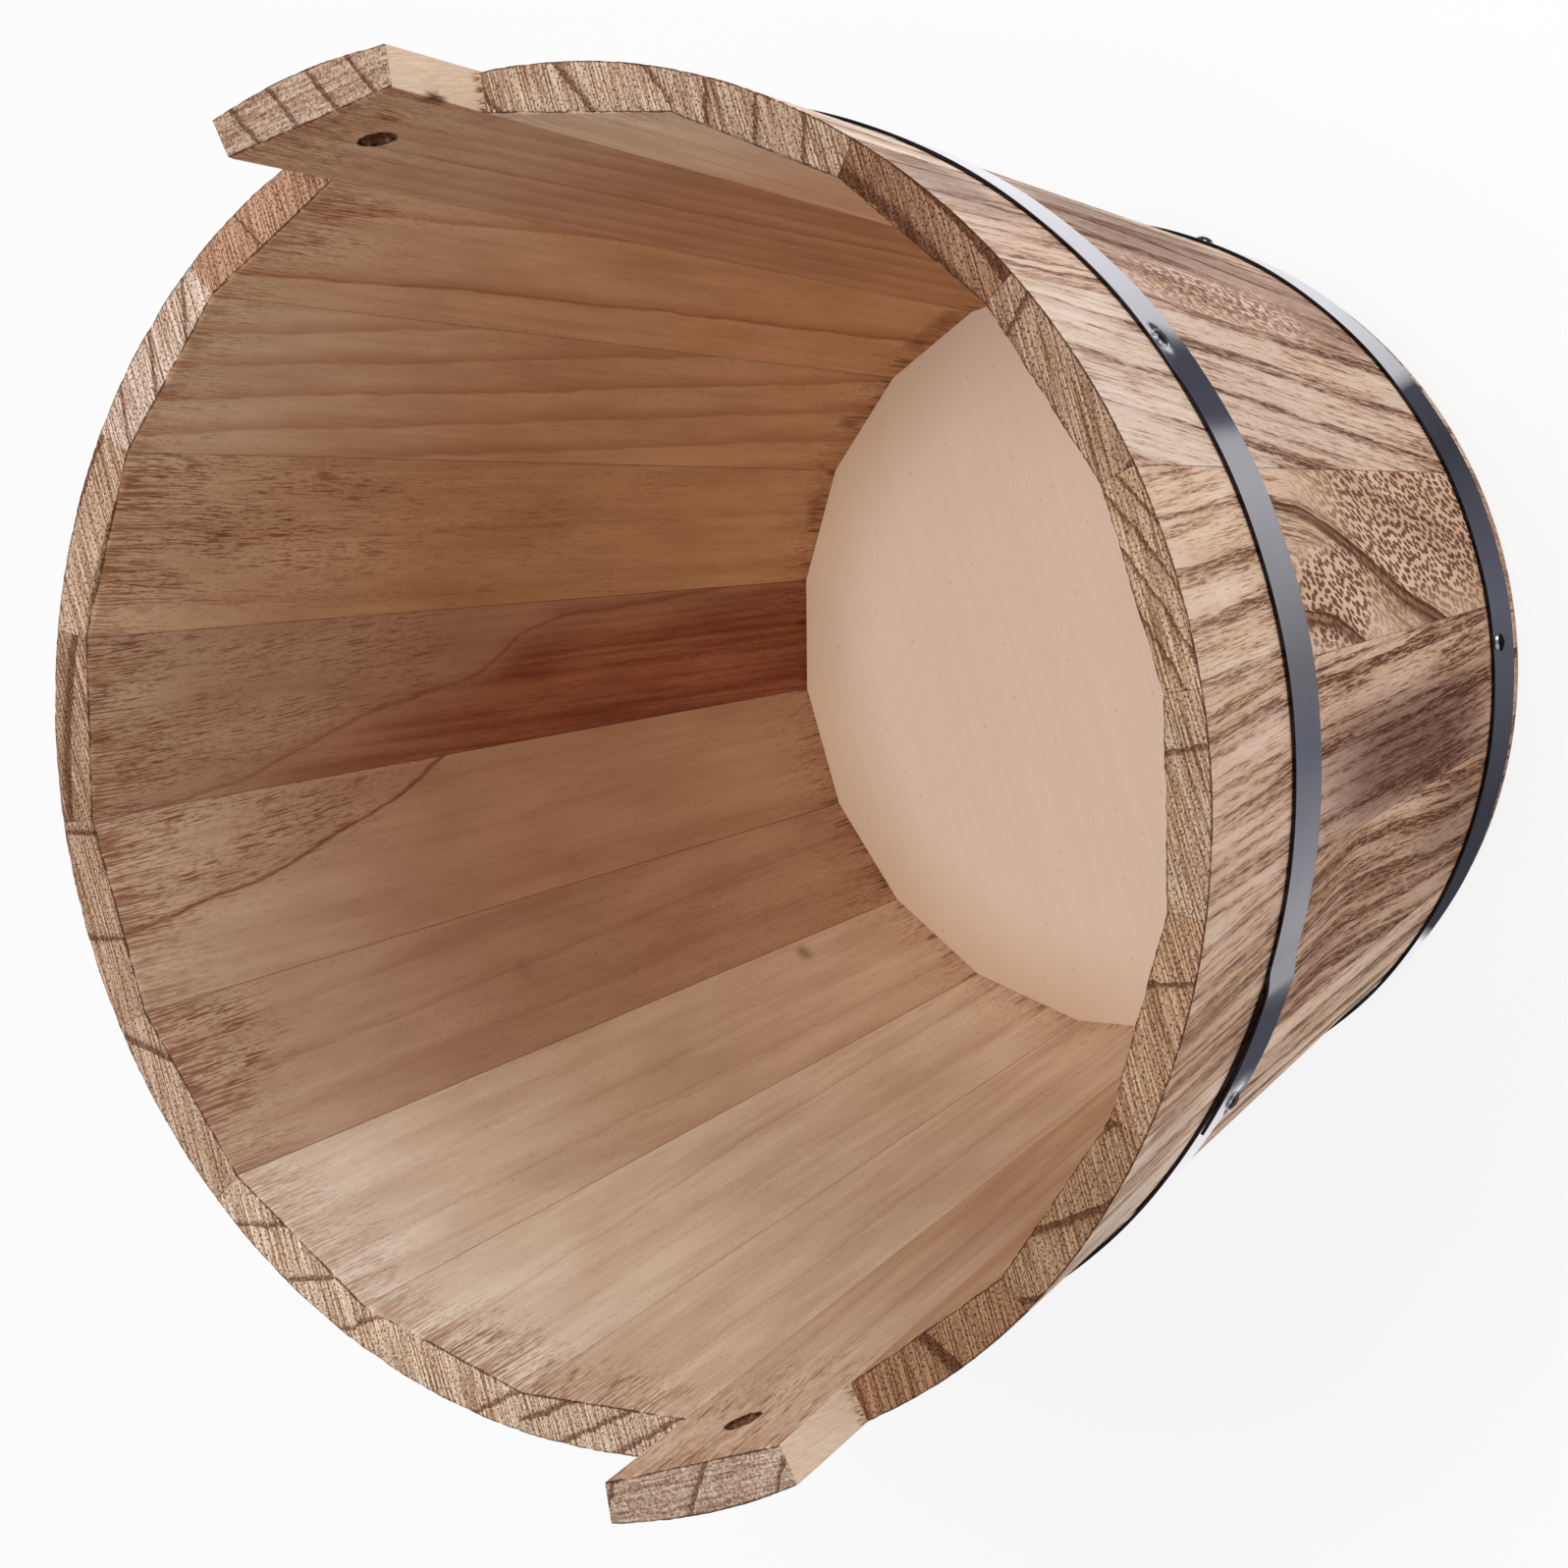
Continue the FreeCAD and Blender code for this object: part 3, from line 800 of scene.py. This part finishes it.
# %% Sawn ends
above_rim = z.step(RIM_HEIGHT + 0.0001, RIM_HEIGHT + 0.0005)
marks = spot.stretched(45, 2200, 45).grain(2, 0.6)
ear_marks = spot.stretched(2200, 110, 45).grain(2, 0.6) * 0.5 + 0.27
marks = marks + (ear_marks - marks) * above_rim
grit = spot.stretched(1700, 1700, 300).grain(2, 0.65)
sway = (spot.stretched(350, 350, 0).grain(3, 0.7) - 0.5) * 2.4
late, line, _ = ring_marks(end_ring, end_gap, sway, end_width, end_width * 2)
pin = spot.stretched(900, 900).spots(0.12, 0.30) * grit.step(0.36, 0.56) * (1 - above_rim * 0.5)
end = (marks * 0.65 + grit * 0.35).step(0.36, 0.62).mix(paint(238, 208, 176), paint(140, 98, 66))
end = (late * 0.30).mix(end, paint(140, 92, 58))
end = (line * (0.25 + grit * 0.9)).at_most(0.9).mix(end, paint(92, 52, 30))
end = (pin * 0.8).mix(end, paint(78, 45, 26))
end = tinted(end, "end")
ragged = (spot.stretched(700, 700, 300).grain(3) - 0.5) * 1.1
edge = 1 - (depth.at_most(from_inside) + ragged * 0.7).step(0.22, 0.62)
end = (edge * 0.85).mix(end, paint(66, 38, 22))
print("with the ends", len(wood.node_tree.nodes), "nodes")

# %% [markdown]
# Last, each point takes the colour of the face it is on, with a ragged border between faces. The sides of
# the ears are raw wood. Joints get a fine dark seam, stains lie on the inside, and the rope holes are burnt. The
# same masks choose what stands up or lies deep in the relief.

# %% Put the faces together
def dress(piece, material):
    """Gives a piece one finish."""
    piece.data.materials.clear()
    piece.data.materials.append(material)


outside = 1 - (depth + ragged * 0.4).step(0.20, 0.60)
sawn = 1 - (to_end + ragged * 0.3).step(0.16, 0.50)
colour = outside.mix(bare, coat)
raw = (spot.stretched(2500, 2500, 160).grain(2, 0.6) * 0.6 + grit * 0.4).step(0.36, 0.66)
raw = raw.mix(paint(222, 198, 175), paint(208, 181, 157))
raw = ((1 - z.step(0.2478, 0.2515)) * grit.step(0.44, 0.58)).mix(raw, paint(142, 92, 54))
ear_side = (1 - to_joint.step(0.05, 0.30)) * above_rim
colour = ear_side.mix(colour, raw)
colour = sawn.mix(colour, end)
seam = (1 - to_joint.step(0.03, 0.20)) * (1 - above_rim)
colour = (seam * (0.22 + outside * 0.10)).mix(colour, paint(70, 44, 30))
stained = stain.at_most(1.0) * (1 - (from_inside + ragged).step(0.8, 1.6))
colour = (stained * (0.85 + ragged * 0.6).at_most(0.95)).mix(colour, paint(80, 36, 12))
slope = (z - HOLE.z) * math.cos(TILT) + (x.math("ABSOLUTE", x) - HOLE.x) * math.sin(TILT)
from_hole = x.math("SQRT", y * y + slope * slope) * 1000
burnt = (1 - (from_hole + ragged * 1.6).step(4.0, 4.8)) * above_rim
bored = depth.at_most(from_inside).step(0.3, 1.2).mix(paint(44, 21, 9), paint(104, 60, 36))
colour = (burnt * (0.60 + grit * 0.7).at_most(1.0)).mix(colour, bored)

relief = outside * (fibre * 0.4 - mark) - (1 - outside) * pore_in * 0.5 + (marks - pin) * sawn
bump = spot.node("ShaderNodeBump", {}, {"Strength": 0.5, "Distance": 0.00025, "Height": relief})
give(wood_shader, {"Base Color": colour, "Normal": bump, "Roughness": 0.56 + streak * 0.16 + outside * 0.08,
                   "Specular IOR Level": 0.06})
for stave in staves:
    dress(stave, wood)
print("stave wood:", len(wood.node_tree.nodes), "nodes")

# %% [markdown]
# ## Bottom board
# The board keeps its solid, which has the right shape already. It is a sanded pale panel with very fine lines
# that run from ear to ear, and a few specks. Its browner edge on the far side is painted shade, where the wall
# shades the board.

# %% Board finish
panel, panel_shader, spot = new_finish("board_wood")
lines = spot.stretched(14, 1500, 200).grain(3, 0.6)
soft = spot.stretched(8, 30, 8).grain(2)
speck = spot.stretched(45, 70).spots(0.012, 0.03)
colour = (lines * 0.6 + soft * 0.4).step(0.25, 0.75).mix(paint(226, 205, 188), paint(219, 197, 179))
x, y, _ = three(spot)
# Painted shade: the far side of the board's edge is browner, where the wall shades it.
edge = (x * x + y * y).step(0.070 ** 2, 0.098 ** 2) * y.step(-0.02, 0.06)
colour = (edge * (0.8 + soft * 0.4)).at_most(1.0).mix(colour, paint(204, 174, 146))
colour = (speck * 0.25).mix(colour, paint(140, 98, 72))
bump = spot.node("ShaderNodeBump", {}, {"Strength": 0.25, "Distance": 0.0001, "Height": lines})
give(panel_shader, {"Base Color": colour, "Roughness": 0.55 + lines * 0.15, "Normal": bump,
                    "Specular IOR Level": 0.3})
dress(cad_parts["bottom_board"], panel)
print("board wood:", len(panel.node_tree.nodes), "nodes")

# %% [markdown]
# ## Hoops
# A hoop starts as a straight strip of steel, so we start there too: a long thin block with eased edges, finely
# divided, and then wound once round the wall and on over its own start. One subdivision makes at most 100 cuts,
# so the length is divided twice. Each nail draws the strip into a small dimple, and rows are drawn closer there,
# all but those of the eased edges. Between the joints the strip is a little flatter than a true circle, which
# breaks up reflections.

# %% Hoop strips
STRIP_WIDTH, STRIP_THICKNESS, STRIP_ARRIS = 0.019, 0.0008, 0.00012
OFF_WALL, LAP_GAP = 0.0002, 0.0001
LAP, RAMP, PAST_NAIL = 0.034, 0.006, 0.0046
FLATTER, JOINTS = 0.00006, 20
DIMPLE, DIMPLE_REACH = 0.00040, 0.0033
HOLLOW, HOLLOW_REACH = 0.00015, 0.0065
CLOSER_ALONG, CLOSER_UP = 0.007, 0.0045
NAILS_EACH = 5


def nails_of(node):
    """The crown of each nail, a point read on its solid."""
    points = points_of(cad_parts[node])
    angle = np.arctan2(points[:, 1], points[:, 0]) % (2 * math.pi)
    order = np.argsort(angle)
    groups = np.split(order, np.where(np.diff(angle[order]) > 0.2)[0] + 1)
    if len(groups) > NAILS_EACH:
        groups = [np.concatenate([groups[-1], groups[0]])] + groups[1:-1]
    found = []
    for group in groups:
        best = group[np.argmax(np.hypot(points[group, 0], points[group, 1]) - TAPER * points[group, 2])]
        found.append(Vector(points[best]))
    return found


def closer(places, centres, reach, total):
    """Draws evenly spread places together near some centres, and leaves the ends where they are."""
    grid = np.linspace(0, total, 20001)
    weight = 1 + sum(3 * np.exp(-((grid - centre) / reach) ** 4) for centre in centres)
    share = np.concatenate([[0], np.cumsum((weight[1:] + weight[:-1]) / 2)])
    return np.interp(places / total, share / share[-1], grid)


def wind(block, name, node, lap_near):
    """Winds a copy of the strip round the wall, with its lap at the nail nearest to an angle."""
    nails = nails_of(node + "_nails")
    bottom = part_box(node)[0][2] + (OFF_WALL + STRIP_THICKNESS) * math.sin(TILT)
    radius = BASE_RADIUS + TAPER * (bottom + STRIP_WIDTH / 2)
    lap_nail = min(nails, key=lambda n: abs(np.angle(np.exp(1j * (math.atan2(n.y, n.x) - lap_near)))))
    lap_end = math.atan2(lap_nail.y, lap_nail.x) - PAST_NAIL / radius
    sweep = 2 * math.pi + LAP / radius
    hoop = copy_of(block, name)
    points = points_of(hoop)
    run, up, out = points[:, 0] * sweep, points[:, 1].copy(), points[:, 2]
    at_nails = [(lap_end + sweep - math.atan2(nail.y, nail.x)) % (2 * math.pi) for nail in nails]
    run = closer(run, at_nails, CLOSER_ALONG / radius, sweep)
    inner = (up > STRIP_ARRIS * 0.99) & (up < STRIP_WIDTH - STRIP_ARRIS * 0.99)
    up[inner] = STRIP_ARRIS + closer(up[inner] - STRIP_ARRIS, [STRIP_WIDTH / 2 - STRIP_ARRIS], CLOSER_UP,
                                     STRIP_WIDTH - 2 * STRIP_ARRIS)
    angle = lap_end + sweep - run
    climb = np.clip((run - (2 * math.pi - RAMP / radius)) / (RAMP / radius), 0, 1)
    lift = OFF_WALL + (STRIP_THICKNESS + LAP_GAP) * climb * climb * (3 - 2 * climb)
    lift = lift - FLATTER * np.cos(angle * JOINTS)
    r = BASE_RADIUS + TAPER * bottom + up * math.sin(TILT) + (lift + out) * math.cos(TILT)
    z = bottom + up * math.cos(TILT) - (lift + out) * math.sin(TILT)
    wound = np.stack([r * np.cos(angle), r * np.sin(angle), z], 1)
    for nail in nails:
        away = np.linalg.norm(wound - np.array(nail), axis=1)
        dent = DIMPLE * np.exp(-(away / DIMPLE_REACH) ** 4) + HOLLOW * np.exp(-(away / HOLLOW_REACH) ** 2)
        wound -= dent[:, None] * np.stack([np.cos(angle) * math.cos(TILT), np.sin(angle) * math.cos(TILT),
                                           np.full(len(r), -math.sin(TILT))], 1)
    hoop.data.vertices.foreach_set("co", wound.ravel())
    hoop.data.update()
    store(hoop, "strip", run * radius * 1000, up * 1000, out * 1000)
    pick(hoop)
    bpy.ops.object.mode_set(mode="EDIT")
    bpy.ops.mesh.select_all(action="SELECT")
    bpy.ops.mesh.normals_make_consistent(inside=False)
    bpy.ops.object.mode_set(mode="OBJECT")
    bpy.ops.object.shade_smooth_by_angle(angle=math.radians(40))
    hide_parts(node)
    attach(hoop, "root")
    print(name, len(hoop.data.polygons), "faces, lap ends at", round(math.degrees(lap_end)) % 360, "degrees")
    return hoop, nails


strip = eased_block("strip", (0.5, STRIP_WIDTH / 2, STRIP_THICKNESS / 2), (1, STRIP_WIDTH, STRIP_THICKNESS),
                    STRIP_ARRIS, ((0, 99), (0, 13), (1, 24)))
upper_hoop, upper_nails = wind(strip, "steel_upper_hoop", "upper_hoop", math.radians(221))
lower_hoop, lower_nails = wind(strip, "steel_lower_hoop", "lower_hoop", math.radians(112))
bpy.data.objects.remove(strip)

# %% [markdown]
# The strip is bright rolled steel, with fine lines along its length and cloudy patches. Its cut edges are painted
# dark, as painted shade for the edge and the gap beside it.

# %% Hoop finish
steel, steel_shader, spot = new_finish("hoop_steel")
on_strip = stored("strip")
lines = on_strip.stretched(0.012, 6.0).grain(3, 0.6)
blotch = on_strip.stretched(0.05, 0.10).grain(3)
colour = (lines * 0.5 + blotch * 0.5).step(0.25, 0.75).mix(paint(242, 242, 244), paint(228, 228, 231))
_, across, _ = three(on_strip)
# Painted shade: the cut edges and their eased arrises are painted dark.
shaded_cut_edge = 1 - across.at_most(STRIP_WIDTH * 1000 - across).step(0.12, 0.24)
bump = spot.node("ShaderNodeBump", {}, {"Strength": 0.10, "Distance": 0.0001, "Height": lines})
give(steel_shader, {"Base Color": shaded_cut_edge.mix(colour, paint(52, 47, 52)), "Normal": bump, "Metallic": 1.0,
                    "Roughness": 0.03 + lines * 0.10 + blotch * 0.05})
for hoop in (upper_hoop, lower_hoop):
    dress(hoop, steel)
print("hoop steel:", len(steel.node_tree.nodes), "nodes")

# %% [markdown]
# ## Nails
# Small domed nails of dark steel. A ball is squashed to the height of the head, its lower half is cut away with
# a bisect that fills the cut, and the head is copied to each nail's place, square to the wall and down in its
# dimple.

# %% Nail heads
NAIL_RADIUS, NAIL_SINK, NAIL_UNEVEN = 0.0023, 0.00165, 0.00012


def nail_head():
    bpy.ops.mesh.primitive_uv_sphere_add(segments=32, ring_count=20, radius=NAIL_RADIUS)
    head = bpy.context.object
    bpy.ops.object.mode_set(mode="EDIT")
    bpy.ops.mesh.select_all(action="SELECT")
    bpy.ops.transform.resize(value=(1, 1, 0.60))
    bpy.ops.mesh.bisect(plane_co=(0, 0, -0.0001), plane_no=(0, 0, 1), use_fill=True, clear_inner=True)
    bpy.ops.object.mode_set(mode="OBJECT")
    for vertex in head.data.vertices:
        vertex.co += vertex.co.normalized() * NAIL_UNEVEN * noise.noise(vertex.co * 1400)
    return head


def set_nails(name, node, crowns):
    copies = []
    for crown in crowns:
        nail = copy_of(head, "nail")
        from_crown = [math.hypot(vertex.co.x, vertex.co.y) / NAIL_RADIUS for vertex in nail.data.vertices]
        store(nail, "from_crown", from_crown, 0, 0)
        angle = math.atan2(crown.y, crown.x)
        outward = Vector((math.cos(angle) * math.cos(TILT), math.sin(angle) * math.cos(TILT), -math.sin(TILT)))
        nail.rotation_mode = "QUATERNION"
        nail.rotation_quaternion = outward.to_track_quat("Z", "Y")
        nail.location = crown - outward * NAIL_SINK
        copies.append(nail)
    bpy.ops.object.select_all(action="DESELECT")
    for nail in copies:
        nail.select_set(True)
    bpy.context.view_layer.objects.active = copies[0]
    bpy.ops.object.join()
    bpy.ops.object.transform_apply(location=True, rotation=True, scale=True)
    group = bpy.context.object
    group.name = name
    bpy.ops.object.shade_smooth_by_angle(angle=math.radians(40))
    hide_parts(node)
    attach(group, "root")
    return group


head = nail_head()
nail_groups = [set_nails("steel_upper_nails", "upper_hoop_nails", upper_nails),
               set_nails("steel_lower_nails", "lower_hoop_nails", lower_nails)]
bpy.data.objects.remove(head)
print("nails", len(upper_nails), "+", len(lower_nails))

# %% [markdown]
# The heads are dark and oiled. The thin bright rim where they meet the strip is a painted highlight.

# %% Nail finish
dark_steel, dark_shader, spot = new_finish("nail_steel")
scuff = spot.stretched(900, 900, 900).grain(3)
from_crown, _, _ = three(stored("from_crown"))
colour = scuff.step(0.35, 0.75).mix(paint(26, 26, 30), paint(50, 50, 53))
# Painted highlight: a thin bright rim round the foot of each head.
colour = from_crown.step(0.91, 0.99).mix(colour, paint(190, 192, 198))
give(dark_shader, {"Base Color": colour, "Roughness": 0.14 + scuff * 0.20, "Metallic": 0.9})
for group in nail_groups:
    dress(group, dark_steel)
print("nail steel:", len(dark_steel.node_tree.nodes), "nodes")
